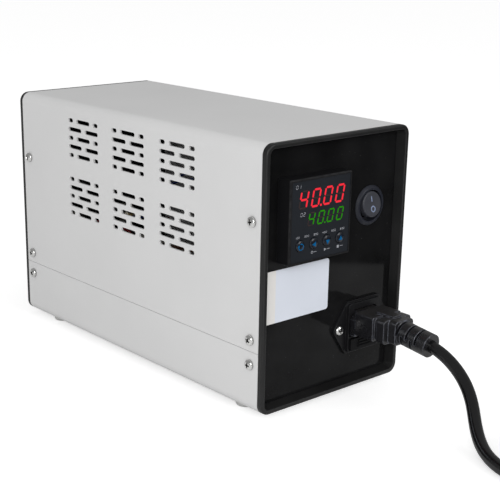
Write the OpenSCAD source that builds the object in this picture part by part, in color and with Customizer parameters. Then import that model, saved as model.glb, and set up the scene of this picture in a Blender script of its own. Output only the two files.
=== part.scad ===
// Bench temperature control unit: a sheet-steel case between two moulded frames.
// X is the width (right as seen from the front), -Y the front, Z up. The feet stand on Z = 0.
// Front pieces are placed by in_front(), where y = 0 is the front rim and z = 0 the case bottom.

/* [Case] */
// Width over the case sides
body_w = 114; // [106:1:150]
// Height of the case without its feet
body_h = 155.5; // [150:0.5:200]
// Depth from front rim to rear rim
body_d = 250; // [220:1:320]
// Outer radius of the case's long edges
corner_r = 6.2; // [6:0.1:9]
// Thickness of the folded steel sheet
sheet_t = 1.2; // [0.8:0.1:1.6]
// Height of the seam between cover and tray
seam_z = 36.7; // [34:0.1:39]
// Open width of that seam
seam_gap = 0.3; // [0.2:0.1:0.6]

/* [Moulded frames] */
// Length of the frame's outer band, flush with the sheet
band_t = 3.5; // [3:0.1:5]
// Width of the flat rim
rim_w = 2.75; // [2:0.05:3.5]
// Depth from the rim to the panel
recess_depth = 6; // [4:0.5:7]
// How far the recess wall leans in over its depth
recess_draft = 1.5; // [1:0.1:1.8]
// Wall of the skirt inside the sheet
skirt_t = 1.8; // [1.4:0.1:2]
// How far the skirt reaches in from the rim
skirt_end = 17; // [15.5:0.5:24]
// Rounding of the outer edge
edge_round = 1.0; // [0.4:0.1:1.5]
// Thickness of the glossy panels
panel_t = 1.5; // [1:0.1:1.8]

/* [Side vents] */
// Length of a full slot
slot_len = 14.9; // [10:0.1:17]
// Length of a short slot at a line's end
slot_short = 5.4; // [4:0.1:7]
// Width of every slot
slot_w = 2.7; // [2:0.1:3.4]
// Sheet left between two slots in a line
slot_bridge = 3.75; // [3:0.05:5]
// Distance between lines
slot_pitch = 5.68; // [5:0.01:6.4]
// Distance between blocks along the case
block_pitch_y = 48.3; // [44:0.1:56]
// Distance between the upper and the lower blocks
block_pitch_z = 38.6; // [34:0.1:44]
// Middle of the vents above the case bottom
vent_mid_z = 113.6; // [108:0.1:118]

/* [Case screws] */
// Distance of the screws from the rim
side_screw_y = 10.5; // [10:0.1:12]
// Heights of the cover's screws
cover_screw_z = [43.7, 111.9];
// Height of the tray's screw
tray_screw_z = 28.9; // [26:0.1:30]
// Head diameter of the case screws
side_head_d = 6.4; // [5.4:0.1:7]

/* [Feet] */
// Diameter of a foot
foot_d = 12.7; // [10:0.1:16]
// Height of a foot
foot_h = 4; // [3.5:0.1:8]
// Distance of a foot's centre from the case side
foot_inset_x = 12.5; // [10:0.5:20]
// Distance of a foot's centre from the rims
foot_inset_y = 27; // [25:0.5:40]

/* [Controller] */
// Square front of the controller
ctl_w = 48; // [44:1:52]
// Cut-out size of its housing
ctl_case_w = 44.6; // [42:0.1:45.5]
// Distance of its face from the panel
ctl_face_h = 10; // [8:0.5:12]
// Length of the housing behind the panel
ctl_case_l = 72; // [60:1:90]
// Middle of the controller from the case's middle
ctl_x = -18.6; // [-22:0.1:-16]
// Middle of the controller above the case bottom
ctl_z = 110.9; // [108:0.1:116]
// Diameter of a key
key_d = 6.4; // [5:0.1:7]
// Distance between keys
key_pitch = 10.35; // [9:0.05:10.6]
// Travel of a key
key_travel = 0.6; // [0.3:0.1:0.8]

/* [Switch] */
// Flange diameter of the power switch
sw_flange_d = 24; // [22:0.5:26]
// Hole in the panel for the switch
sw_hole_d = 20.2; // [19.5:0.1:21]
// Middle of the switch from the case's middle
sw_x = 31.5; // [28:0.5:34]
// Middle of the switch above the case bottom
sw_z = 109.1; // [104:0.1:116]
// How far the rocker tips to each side
rocker_tilt = 11; // [8:1:12]

/* [Inlet] */
// Middle of the inlet from the case's middle
inlet_x = 27.9; // [26:0.1:29]
// Middle of the inlet above the case bottom
inlet_z = 36.6; // [34:0.1:40]
// Distance between the inlet's two screws
inlet_pitch = 40; // [38:0.5:42]
// Width of the inlet's raised body
inlet_w = 27.6; // [26.8:0.1:28.4]
// Height of the inlet's raised body
inlet_h = 30.2; // [29.6:0.1:32]
// How far the fuse drawer slides out
drawer_travel = 14; // [8:0.5:15]

/* [Rear connectors] */
// Thread diameter of the output socket
out_d = 16; // [14:0.5:18]
// Thread diameter of the sensor socket
sense_d = 12; // [10:0.5:14]

/* [Mains lead] */
// Diameter of the cord
cord_d = 7.2; // [6:0.1:8]
// Turns in the coil
coil_turns = 5; // [3:1:6]

/* [Hidden] */

// Gap round a sliding or turning part
run_gap = 0.25;
key_proud = 0.8;
// How far the controller and the two rear connectors stand proud of the rims
ctl_proud = ctl_face_h - recess_depth;
rear_proud = 3;
front_y = -(body_d + rear_proud - ctl_proud - key_proud) / 2;
skirt_gap = 0.2;
skirt_in = sheet_t + skirt_gap;            // skirt's outer face, inward from the case side
skirt_bore = skirt_in + skirt_t;           // skirt's inner face
pocket_in = rim_w + recess_draft;          // foot of the leaning recess wall
ledge_in = min(corner_r, 6.2) - 0.1;                 // inner edge of the ledge that carries the panel
ledge_y = recess_depth + panel_t;
ledge_t = 2;
panel_gap = 0.1;
screw_shaft_d = 2.9;
screw_hole_d = 3.4;
side_head_h = 2.2;
boss_reach = 7;
sheet_len = body_d - 2 * band_t - 0.3;

// ---------------------------------------------------------------- helpers

function unit(v) = v / norm(v);
function arc(c, r, a0, a1, n) = [for (i = [0:n]) c + r * [cos(a0 + (a1 - a0) * i / n), sin(a0 + (a1 - a0) * i / n)]];
// Catmull-Rom point between b and c
function blend(a, b, c, d, t) =
    0.5 * (2 * b + (c - a) * t + (2 * a - 5 * b + 4 * c - d) * t * t + (3 * b - a - 3 * c + d) * t * t * t);
function pick(p, i) = p[min(max(i, 0), len(p) - 1)];
function smooth(p, n) = concat(
    [for (i = [0:len(p) - 2], k = [0:n - 1]) blend(pick(p, i - 1), p[i], p[i + 1], pick(p, i + 2), k / n)],
    [p[len(p) - 1]]);
function headings(p) = [for (i = [0:len(p) - 1]) unit(pick(p, i + 1) - pick(p, i - 1))];
function side_of(t) = unit(cross(t, abs(t.z) < 0.9 ? [0, 0, 1] : [1, 0, 0]));
// Carries one side direction along the path without twisting it
function carried(ts, i = 0, s = undef) = i == len(ts) ? [] :
    let (n = i == 0 ? side_of(ts[0]) : unit(s - (s * ts[i]) * ts[i])) concat([n], carried(ts, i + 1, n));

// A round tube along a list of points
module sweep(path, d, sides = 8) {
    ts = headings(path);
    ns = carried(ts);
    count = len(path);
    rings = [for (i = [0:count - 1], k = [0:sides - 1])
        path[i] + d / 2 * (cos(360 * k / sides) * ns[i] + sin(360 * k / sides) * cross(ts[i], ns[i]))];
    walls = [for (i = [0:count - 2], k = [0:sides - 1])
        [i * sides + k, (i + 1) * sides + k, (i + 1) * sides + (k + 1) % sides, i * sides + (k + 1) % sides]];
    polyhedron(rings, concat(walls,
        [[for (k = [0:sides - 1]) k]],
        [[for (k = [sides - 1:-1:0]) (count - 1) * sides + k]]), convexity = 6);
}

// Rounded rectangle from squares and circles, middle at the origin
module rounded(w, h, r) {
    square([w - 2 * r, h], center = true);
    square([w, h - 2 * r], center = true);
    for (x = [-1, 1], y = [-1, 1])
        translate([x * (w / 2 - r), y * (h / 2 - r)])
            circle(r, $fn = 48);
}

// Turns a flat drawing in XZ into a plate from y0 to y1
module plate(y0, y1)
    translate([0, y1, 0])
        rotate([90, 0, 0])
            linear_extrude(y1 - y0)
                children();

// Cylinder along Y from y0 to y1
module rod_y(d, y0, y1, fn = 48)
    translate([0, y0, 0])
        rotate([-90, 0, 0])
            cylinder(d = d, h = y1 - y0, $fn = fn);

// Cylinder along X from x0 to x1
module rod_x(d, x0, x1, fn = 48)
    translate([x0, 0, 0])
        rotate([0, 90, 0])
            cylinder(d = d, h = x1 - x0, $fn = fn);

// Outline turned about the Y axis; points are [radius, y]
module turned_y(points)
    rotate([-90, 0, 0])
        rotate_extrude($fn = 64)
            polygon(points);

module in_front()
    translate([0, front_y, foot_h])
        children();

module in_rear()
    translate([0, front_y + body_d, foot_h])
        mirror([0, 1, 0])
            children();

module both_ends() {
    in_front() children();
    in_rear() children();
}

module both_sides()
    for (s = [0, 1])
        mirror([s, 0, 0])
            children();

// Runs a profile of [inward, y] points round the case's rounded rectangle
module ring_profile(w, h, r, profile) {
    for (s = [0, 1], t = [0, 1])
        translate([0, 0, h / 2])
            mirror([s, 0, 0])
                mirror([0, 0, t])
                    translate([-w / 2, 0, -h / 2]) {
                        translate([0, 0, r])
                            linear_extrude(h / 2 - r)
                                polygon(profile);
                        translate([w / 2, 0, 0])
                            rotate([0, -90, 0])
                                linear_extrude(w / 2 - r)
                                    polygon(profile);
                        translate([r, 0, r])
                            rotate([-90, 90, 0])
                                rotate_extrude(angle = 90, $fn = 96)
                                    polygon([for (p = profile) [r - p.x, p.y]]);
                    }
}

// Pan-head screw with a cross recess, pointing along +Y, head under y = 0
module pan_screw(head_d, head_h, shaft_d, length)
    difference() {
        turned_screw(head_d, head_h, shaft_d, length);
        for (turn = [0, 90])
            rotate([0, turn, 0])
                translate([-head_d * 0.3, -head_h - 0.1, -head_d * 0.08])
                    cube([head_d * 0.6, head_h * 0.6 + 0.1, head_d * 0.16]);
    }

module turned_screw(head_d, head_h, shaft_d, length)
    turned_y(concat([[0, -head_h]],
        arc([head_d / 2 - head_h * 0.8, -head_h * 0.2], head_h * 0.8, -90, 0, 4),
        [[head_d / 2, 0], [shaft_d / 2, 0], [shaft_d / 2, length - shaft_d / 3], [shaft_d / 4, length],
         [0, length]]));

// Hexagon nut along Y, from y = 0 to y = height
module hex_nut(across, height, hole_d)
    difference() {
        rod_y(across / cos(30), 0, height, 6);
        rod_y(hole_d, -1, height + 1);
    }

// ---------------------------------------------------------------- case

module case_section(inset, r)
    translate([0, body_h / 2])
        rounded(body_w - 2 * inset, body_h - 2 * inset, r);

module sheet_section()
    difference() {
        case_section(0, corner_r);
        case_section(sheet_t, corner_r - sheet_t);
    }

// Slot with round ends
module slot_shape(length) {
    square([length - slot_w, slot_w], center = true);
    for (s = [-1, 1])
        translate([s * (length - slot_w) / 2, 0])
            circle(d = slot_w, $fn = 24);
}

module vent_block() {
    block_w = slot_len + 2 * slot_bridge + 2 * slot_short;
    for (line = [-2:2])
        translate([0, line * slot_pitch])
            if (line % 2 == 0) {
                slot_shape(slot_len);
                for (s = [-1, 1])
                    translate([s * (block_w - slot_short) / 2, 0])
                        slot_shape(slot_short);
            } else {
                half_len = (block_w - slot_bridge) / 2;
                for (s = [-1, 1])
                    translate([s * (block_w - half_len) / 2, 0])
                        slot_shape(half_len);
            }
}

module top_cover()
    color("silver")
        difference() {
            in_front()
                plate(band_t + 0.15, band_t + 0.15 + sheet_len)
                    difference() {
                        sheet_section();
                        translate([0, (seam_z + seam_gap) / 2 - 1])
                            square([body_w + 2, seam_z + seam_gap + 2], center = true);
                    }
            in_front()
                for (col = [-1:1], row = [-0.5, 0.5])
                    translate([-body_w, body_d / 2 + col * block_pitch_y, vent_mid_z + row * block_pitch_z])
                        rotate([90, 0, 90])
                            linear_extrude(2 * body_w)
                                vent_block();
            both_ends()
                for (z = cover_screw_z)
                    translate([0, side_screw_y, z])
                        rod_x(screw_hole_d, -body_w, body_w);
        }

module bottom_tray()
    color("silver")
        difference() {
            in_front()
                plate(band_t + 0.15, band_t + 0.15 + sheet_len)
                    difference() {
                        sheet_section();
                        translate([0, seam_z + body_h / 2])
                            square([body_w + 2, body_h], center = true);
                    }
            both_ends()
                translate([0, side_screw_y, tray_screw_z])
                    rod_x(screw_hole_d, -body_w, body_w);
            each_foot()
                translate([0, 0, foot_h - 1])
                    cylinder(d = 3.4, h = sheet_t + 2, $fn = 32);
            for (p = tray_holes)
                translate([p.x, p.y, foot_h - 1])
                    cylinder(d = 3.4, h = sheet_t + 2, $fn = 32);
        }

frame_profile = concat(
    arc([edge_round, edge_round], edge_round, 180, 270, 4),
    [[rim_w - 0.4, 0], [rim_w - 0.1, 0.12], [rim_w, 0.4],
     [pocket_in, recess_depth], [pocket_in, ledge_y], [ledge_in, ledge_y], [ledge_in, ledge_y + ledge_t],
     [skirt_bore, ledge_y + ledge_t], [skirt_bore, skirt_end], [skirt_in, skirt_end], [skirt_in, band_t],
     [0, band_t]]);

// Boss inside the skirt that takes a case screw
module screw_boss(z) {
    boss_h = 7.6;
    y0 = ledge_y + 0.2;
    difference() {
        translate([-body_w / 2 + skirt_bore - 0.5, y0, z - boss_h / 2])
            cube([boss_reach + 0.5, skirt_end - 3 - y0, boss_h]);
        translate([0, side_screw_y, z])
            rod_x(screw_shaft_d + 0.1, -body_w / 2 - 1, -body_w / 2 + skirt_bore + boss_reach + 1);
    }
}

module moulded_frame()
    difference() {
        union() {
            ring_profile(body_w, body_h, corner_r, frame_profile);
            both_sides()
                for (z = concat(cover_screw_z, [tray_screw_z]))
                    screw_boss(z);
        }
        for (z = concat(cover_screw_z, [tray_screw_z]))
            translate([0, side_screw_y, z])
                both_sides()
                    rod_x(screw_shaft_d + 0.1, -body_w / 2 - 1, -body_w / 2 + skirt_bore + boss_reach + 1);
    }

module front_frame()
    color([0.12, 0.12, 0.13])
        in_front() moulded_frame();

module rear_frame()
    color([0.12, 0.12, 0.13])
        in_rear() moulded_frame();

module panel_outline()
    translate([0, body_h / 2])
        rounded(body_w - 2 * (pocket_in + panel_gap), body_h - 2 * (pocket_in + panel_gap),
            corner_r - pocket_in - panel_gap);

module front_panel()
    color([0.08, 0.08, 0.09])
        in_front()
            plate(recess_depth, ledge_y)
                difference() {
                    panel_outline();
                    translate([ctl_x, ctl_z])
                        square(ctl_case_w + 0.4, center = true);
                    translate([sw_x, sw_z])
                        circle(d = sw_hole_d, $fn = 64);
                    translate([inlet_x, inlet_z]) {
                        square([inlet_w - 0.4, inlet_h + 0.2], center = true);
                        for (s = [-1, 1])
                            translate([s * inlet_pitch / 2, 0])
                                circle(d = 3.2, $fn = 32);
                    }
                }

module rear_panel()
    color([0.08, 0.08, 0.09])
        in_rear()
            plate(recess_depth, ledge_y)
                difference() {
                    panel_outline();
                    translate(out_at)
                        circle(d = out_d + 0.2, $fn = 64);
                    translate(sense_at)
                        circle(d = sense_d + 0.2, $fn = 64);
                }

module side_screws(heights)
    both_ends()
        both_sides()
            for (z = heights)
                translate([-body_w / 2, side_screw_y, z])
                    rotate([0, 0, -90])
                        pan_screw(side_head_d, side_head_h, screw_shaft_d, 9);

module cover_screws()
    color("gainsboro") side_screws(cover_screw_z);

module tray_screws()
    color("gainsboro") side_screws([tray_screw_z]);

// ---------------------------------------------------------------- feet

foot_x = body_w / 2 - foot_inset_x;
foot_ys = [front_y + foot_inset_y, front_y + body_d - foot_inset_y];
foot_bore = 3.4;
foot_well = 6.2;

module each_foot()
    for (x = [-foot_x, foot_x], y = foot_ys)
        translate([x, y, 0])
            children();

module foot_at(x, y)
    color("lightgray")
        translate([x, y, 0])
            difference() {
                rotate_extrude($fn = 64)
                    polygon(concat([[0, 0]], arc([foot_d / 2 - 1.9, 1.4], 1.4, -90, -15, 5),
                        [[foot_d / 2, foot_h], [0, foot_h]]));
                translate([0, 0, -1])
                    cylinder(d = foot_well, h = foot_h / 2 + 1, $fn = 48);
                cylinder(d = foot_bore, h = foot_h + 1, $fn = 32);
            }

module foot_front_left() foot_at(-foot_x, foot_ys[0]);
module foot_front_right() foot_at(foot_x, foot_ys[0]);
module foot_rear_left() foot_at(-foot_x, foot_ys[1]);
module foot_rear_right() foot_at(foot_x, foot_ys[1]);

module foot_screws()
    color("gainsboro")
        each_foot()
            translate([0, 0, foot_h / 2])
                rotate([90, 0, 0])
                    pan_screw(5.6, 1.6, screw_shaft_d, foot_h / 2 + sheet_t + 4);

module foot_nuts()
    color("gainsboro")
        each_foot()
            translate([0, 0, foot_h + sheet_t])
                rotate([90, 0, 0])
                    hex_nut(5.5, 2.4, 3);

module blank_label()
    color([0.85, 0.87, 0.9])
        in_front()
            plate(recess_depth - 0.25, recess_depth)
                translate([-25.7, 67.2])
                    rounded(50, 30.9, 1.8);

// ---------------------------------------------------------------- controller
// Drawn about its own middle, with y = 0 on the face and the panel at y = ctl_face_h

face_inset = 0.35;
face_t = 0.8;
face_w = ctl_w - 2.6;
key_row_z = -13.5;
key_places = [for (i = [-1.5:1:1.5]) i * key_pitch];
display_x = 0.6;
upper_z = 12.1;
upper_size = [38.4, 13.4];
lower_x = 4.2;
lower_z = 0.3;
lower_size = [31.5, 10.2];
board_y = 6.2;
board_w = face_w - 2.4;

module at_controller()
    in_front()
        translate([ctl_x, -ctl_proud, ctl_z])
            children();

// Square frame with a bevelled front edge, open behind the face
module controller_bezel()
    color([0.14, 0.16, 0.19])
        at_controller()
            difference() {
                union() {
                    plate(0.9, ctl_face_h)
                        rounded(ctl_w, ctl_w, 0.8);
                    for (k = [0:2])
                        plate(0.3 * k, 0.9)
                            rounded(ctl_w - 1.2 + 0.4 * k, ctl_w - 1.2 + 0.4 * k, 0.6);
                }
                plate(-1, face_inset + face_t)
                    rounded(face_w + 0.1, face_w + 0.1, 0.5);
                plate(0, ctl_face_h + 1)
                    square(board_w, center = true);
            }

// One smoked plate over both displays, with a hole for each key
module controller_face()
    color([0.14, 0.16, 0.19])
        at_controller()
            plate(face_inset, face_inset + face_t)
                difference() {
                    rounded(face_w, face_w, 0.5);
                    for (x = key_places)
                        translate([x, key_row_z])
                            circle(d = key_d + 2 * run_gap, $fn = 48);
                }

module display_block(x, z, size, digits)
    at_controller()
        translate([x, 0, z])
            difference() {
                plate(face_inset + face_t, board_y)
                    square(size, center = true);
                for (k = [0:digits - 1])
                    translate([(k - (digits - 1) / 2) * size.x / digits, 0, 0])
                        plate(board_y - 1, board_y + 1)
                            square([size.x / digits - 2, size.y - 3], center = true);
            }

module upper_display() color([0.15, 0.10, 0.11]) display_block(display_x, upper_z, upper_size, 4);
module lower_display() color([0.14, 0.12, 0.12]) display_block(lower_x, lower_z, lower_size, 4);

// Domed key with a collar behind the face and a stem that reaches its contact
module key_at(i)
    color([0.20, 0.23, 0.27])
        at_controller()
            translate([key_places[i], 0, key_row_z])
                turned_y(concat([[0, -key_proud]],
                    [for (a = [15:15:75]) [key_d / 2 * sin(a), face_inset - 0.1 - (key_proud + face_inset - 0.1) * cos(a)]],
                    [[key_d / 2, face_inset - 0.1], [key_d / 2, face_inset + face_t + 0.1],
                     [key_d / 2 + 0.9, face_inset + face_t + 0.1], [key_d / 2 + 0.9, face_inset + face_t + 0.8],
                     [1.2, face_inset + face_t + 0.8], [1.2, board_y - 0.9 - key_travel], [0, board_y - 0.9 - key_travel]]));

module key_cycle() key_at(0);
module key_shift() key_at(1);
module key_down() key_at(2);
module key_up() key_at(3);

// Display board with a contact dome under each key, and the power board behind it
module controller_board()
    color("darkgreen")
        at_controller() {
            plate(board_y, board_y + 1.6)
                square(board_w, center = true);
            for (x = key_places)
                translate([x, 0, key_row_z])
                    turned_y([[0, board_y - 0.8], [1.6, board_y - 0.6], [2.2, board_y], [0, board_y]]);
            translate([-17, board_y + 1.6, -12])
                cube([34, ctl_face_h + ctl_case_l - board_y - 12, 1.6]);
            translate([-14, 30, -10.4])
                cube([16, 18, 13]);
            for (y = [18, 56])
                translate([9, y, -10.4])
                    cylinder(d = 8, h = 14, $fn = 32);
        }

module controller_case()
    color([0.16, 0.16, 0.17])
        at_controller()
            difference() {
                union() {
                    plate(ctl_face_h, ctl_face_h + ctl_case_l)
                        rounded(ctl_case_w, ctl_case_w, 1);
                    for (z = [-1, 1])
                        for (k = [0:7])
                            translate([0, ctl_face_h + 10 + k * 5, z * (ctl_case_w / 2 + 0.2)])
                                rotate([45, 0, 0])
                                    cube([12, 0.8, 0.8], center = true);
                }
                plate(ctl_face_h - 1, ctl_face_h + ctl_case_l - 2)
                    square(ctl_case_w - 3.6, center = true);
                for (x = [-3:3], s = [0, 1])
                    translate([x * 5.5, ctl_face_h + 45, 0])
                        mirror([0, 0, s])
                            translate([-1.2, -10, ctl_case_w / 2 - 3])
                                cube([2.4, 20, 4]);
            }

// Yoke that is pushed along the housing and pulls the bezel against the panel
module controller_clamp()
    color([0.10, 0.10, 0.11])
        at_controller()
            difference() {
                plate(ctl_face_h + panel_t, ctl_face_h + panel_t + 7)
                    difference() {
                        rounded(ctl_case_w + 6.4, ctl_case_w + 6.4, 2);
                        square(ctl_case_w + 0.4, center = true);
                    }
                for (z = [-1, 1])
                    translate([0, ctl_face_h + panel_t + 4.5, z * (ctl_case_w / 2 + 3)])
                        cube([14, 6, 4.4], center = true);
            }

term_y = ctl_face_h + ctl_case_l;
term_rows = [-11.5, 11.5];
term_cols = [for (i = [-2.5:1:2.5]) i * 6.8];
term_head_h = 1.6;

module controller_terminals()
    color([0.13, 0.13, 0.13])
        at_controller()
            difference() {
                for (x = term_rows)
                    translate([x - 6, term_y, -21.5])
                        cube([12, 9, 43]);
                for (x = term_rows, z = term_cols)
                    translate([x, term_y, z]) {
                        plate(4, 10)
                            square([9, 5.4], center = true);
                        rod_y(3.1, 1, 6);
                    }
            }

module terminal_screws()
    color("gainsboro")
        at_controller()
            for (x = term_rows, z = term_cols)
                translate([x, term_y + 4, z])
                    mirror([0, 1, 0])
                        pan_screw(4.8, term_head_h, 2.8, 2.6);

// ---------------------------------------------------------------- switch
// Drawn about its own middle, with the panel's front at y = 0 and the front towards -y

sw_ring_h = 1.5;
sw_bore = 18.8;
sw_depth = 14;
rocker_d = 15.5;
rocker_pivot_y = 3;
rocker_face_y = -2.6;
rocker_reach = rocker_pivot_y - rocker_face_y;
rocker_pin_d = 2.4;

module at_switch()
    in_front()
        translate([sw_x, recess_depth, sw_z])
            children();

module switch_body()
    color([0.12, 0.12, 0.13])
        at_switch()
            difference() {
                union() {
                    turned_y(concat([[0, 0], [sw_flange_d / 2, 0], [sw_flange_d / 2, -0.3]],
                        arc([sw_bore / 2 + 0.9, -sw_ring_h + 0.8], 0.8, -45, -90, 3),
                        [[0, -sw_ring_h]]));
                    rod_y(sw_hole_d - 0.4, 0, sw_depth);
                    for (s = [-1, 1])
                        translate([s * (sw_hole_d / 2 - 0.3), panel_t + 1.2, 0])
                            rotate([0, 0, s * 8])
                                cube([1.2, 2.2, 5], center = true);
                }
                rod_y(sw_bore, -sw_ring_h - 1, rocker_pivot_y + 1.5);
                rod_y(16, 0, sw_depth - 2);
                translate([0, rocker_pivot_y, 0])
                    rod_x(rocker_pin_d + 0.06, -sw_bore / 2 - 0.4, sw_bore / 2 + 0.4);
                for (z = [-5, 5])
                    translate([-2.5, sw_depth - 3, z - 0.5])
                        cube([5, 4, 1]);
            }

// Disc-faced rocker, tipped so that its upper mark is pressed in
module switch_rocker()
    color([0.16, 0.16, 0.17])
        at_switch()
            translate([0, rocker_pivot_y, 0])
                rotate([-rocker_tilt, 0, 0]) {
                    turned_y(concat([[0, -rocker_reach + 0.25], [rocker_d / 2 - 1.6, -rocker_reach]],
                        arc([rocker_d / 2 - 0.8, -rocker_reach + 0.8], 0.8, -90, 0, 4),
                        [[rocker_d / 2, -rocker_reach + 3.4], [rocker_d / 2 - 1.2, 2.4], [0, 2.4]]));
                    rod_x(rocker_pin_d, -sw_bore / 2 - 0.2, sw_bore / 2 + 0.2);
                    translate([-1.4, 0, -1.2])
                        cube([2.8, 5.6, 2.4]);
                }

module switch_terminals()
    color("gold")
        at_switch()
            for (z = [-5, 5])
                translate([-2.4, sw_depth - 2, z - 0.4])
                    cube([4.8, 11, 0.8]);

// ---------------------------------------------------------------- inlet
// Drawn about its own middle, with the panel's front at y = 0 and the front towards -y

plate_t = 2;
block_t = 2;
inlet_front = -plate_t - block_t;
inlet_depth = 19;
plate_w = inlet_w - 0.6;
plate_h = inlet_h + 2.6;
ear_r = 3.9;
cavity = [25.6, 16.6];
cavity_z = 3;
cavity_depth = 16.5;
drawer = [24, 7.6];
drawer_z = -10.4;
drawer_len = 18;
pin_places = [[-7, -1.4], [7, -1.4], [0, 2.6]];

module at_inlet()
    in_front()
        translate([inlet_x, recess_depth, inlet_z])
            children();

// Cavity outline: two corners of the rectangle are cut away
module cavity_shape(gap)
    polygon([for (p = [[-1, -1], [1, -1], [1, 0.35], [0.72, 1], [-0.72, 1], [-1, 0.35]])
        [p.x * (cavity.x / 2 - gap), p.y * (cavity.y / 2 - gap)]]);

// Outline of the flange: a rectangle drawn out to a round ear at each screw
module flange_shape() {
    corner = [plate_w / 2, plate_h / 2];
    ear = [inlet_pitch / 2, 0];
    way = corner - ear;
    turn = atan2(way.y, way.x) - acos(ear_r / norm(way));
    touch = ear + ear_r * [cos(turn), sin(turn)];
    difference() {
        union() {
            polygon([[-corner.x, corner.y], corner, touch, ear, [touch.x, -touch.y], [corner.x, -corner.y],
                [-corner.x, -corner.y], [-touch.x, -touch.y], -ear, [-touch.x, touch.y]]);
            for (s = [-1, 1])
                translate([s * inlet_pitch / 2, 0])
                    circle(ear_r, $fn = 48);
        }
        for (s = [-1, 1])
            translate([s * inlet_pitch / 2, 0])
                circle(d = 3.3, $fn = 32);
    }
}

module inlet_body()
    color([0.10, 0.10, 0.11])
        at_inlet()
            difference() {
                union() {
                    plate(-plate_t, 0)
                        flange_shape();
                    plate(inlet_front, -plate_t)
                        rounded(inlet_w, inlet_h, 2);
                    plate(0, inlet_depth)
                        rounded(inlet_w - 0.8, inlet_h - 0.2, 1.2);
                }
                translate([0, 0, cavity_z])
                    plate(inlet_front - 1, inlet_front + cavity_depth)
                        cavity_shape(0);
                translate([0, 0, drawer_z])
                    plate(inlet_front - 1, inlet_front + drawer_len + 0.6)
                        square([drawer.x + 2 * run_gap, drawer.y + 2 * run_gap], center = true);
                for (p = pin_places)
                    translate([p.x, 0, p.y + cavity_z])
                        plate(inlet_front + cavity_depth - 1, inlet_depth + 1)
                            square([4.1, 2.1], center = true);
            }

module inlet_pins()
    color("gainsboro")
        at_inlet()
            for (p = pin_places)
                translate([p.x, 0, p.y + cavity_z]) {
                    plate(inlet_front + 3, inlet_depth)
                        square([4, 2], center = true);
                    plate(inlet_depth, inlet_depth + 8)
                        square([4, 0.8], center = true);
                }

module inlet_screws()
    color("gainsboro")
        at_inlet()
            for (s = [-1, 1])
                translate([s * inlet_pitch / 2, -plate_t, 0])
                    pan_screw(6, 2, screw_shaft_d, 9);

module inlet_nuts()
    color("gainsboro")
        at_inlet()
            for (s = [-1, 1])
                translate([s * inlet_pitch / 2, panel_t, 0])
                    rotate([0, 30, 0])
                        hex_nut(5.5, 2.4, 3);

// Fuse drawer: a tray behind a ribbed front plate
module fuse_drawer()
    color([0.12, 0.12, 0.13])
        at_inlet()
            translate([0, 0, drawer_z])
                difference() {
                    union() {
                        plate(inlet_front - 0.2, inlet_front + drawer_len)
                            square(drawer, center = true);
                        plate(inlet_front - 1.2, inlet_front - 0.2)
                            rounded(drawer.x + 0.4, drawer.y - 0.4, 0.8);
                        for (k = [-1:1])
                            translate([0, 0, k * 1.8])
                                plate(inlet_front - 1.8, inlet_front - 1.2)
                                    square([12, 0.8], center = true);
                    }
                    translate([-10.4, inlet_front + 2.4, -1.8])
                        cube([20.8, 6.4, drawer.y]);
                }

module fuse()
    color([0.8, 0.85, 0.85])
        at_inlet()
            translate([0, inlet_front + 5.6, drawer_z + 0.85])
                rotate([0, 0, 90])
                    turned_y([[0, -10], [2.6, -10], [2.6, -5], [2.35, -5], [2.35, 5], [2.6, 5], [2.6, 10], [0, 10]]);

// ---------------------------------------------------------------- rear connectors

out_at = [-24, 60];
sense_at = [24, 60];
out_ring = 3.4;
sense_ring = 2.2;
socket_proud = recess_depth + rear_proud;

module at_rear_socket(at)
    in_rear()
        translate([at.x, recess_depth, at.y])
            children();

// Flanged round socket with a stepped, threaded barrel and an insert of contacts
module round_socket(d, contacts, ring)
    difference() {
        turned_y([[0, -socket_proud], [d / 2 - 0.6, -socket_proud], [d / 2, -socket_proud + 0.6], [d / 2, -2.4],
            [d / 2 + 2.4, -2], [d / 2 + 2.4, 0], [d / 2, 0], [d / 2, 11], [d / 2 - 1, 11], [d / 2 - 1, 13],
            [0, 13]]);
        turned_y([[d / 2 - 2.4, -socket_proud - 1], [d / 2 - 1.6, -socket_proud - 1], [d / 2 - 1.6, -2],
            [d / 2 - 2.4, -2]]);
        for (a = [0:360 / contacts:359])
            translate([ring * cos(a + 45), 0, ring * sin(a + 45)])
                rod_y(2.2, -socket_proud - 1, 14);
        translate([-0.8, -socket_proud - 1, d / 2 - 1.7])
            cube([1.6, 6, 1.2]);
    }

module contact_set(contacts, ring)
    for (a = [0:360 / contacts:359])
        translate([ring * cos(a + 45), 0, ring * sin(a + 45)])
            difference() {
                rod_y(2.1, -socket_proud + 0.6, 17, 24);
                rod_y(1.2, -socket_proud - 1, -socket_proud + 6, 24);
            }

module output_socket() color("silver") at_rear_socket(out_at) round_socket(out_d, 4, out_ring);
module output_contacts() color("gold") at_rear_socket(out_at) contact_set(4, out_ring);
module output_nut() color("silver") at_rear_socket(out_at) translate([0, panel_t, 0]) hex_nut(out_d + 4, 2.5, out_d + 0.1);
module sensor_socket() color("silver") at_rear_socket(sense_at) round_socket(sense_d, 3, sense_ring);
module sensor_contacts() color("gold") at_rear_socket(sense_at) contact_set(3, sense_ring);
module sensor_nut() color("silver") at_rear_socket(sense_at) translate([0, panel_t, 0]) hex_nut(sense_d + 4, 2.5, sense_d + 0.1);

// ---------------------------------------------------------------- power parts on the tray

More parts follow.
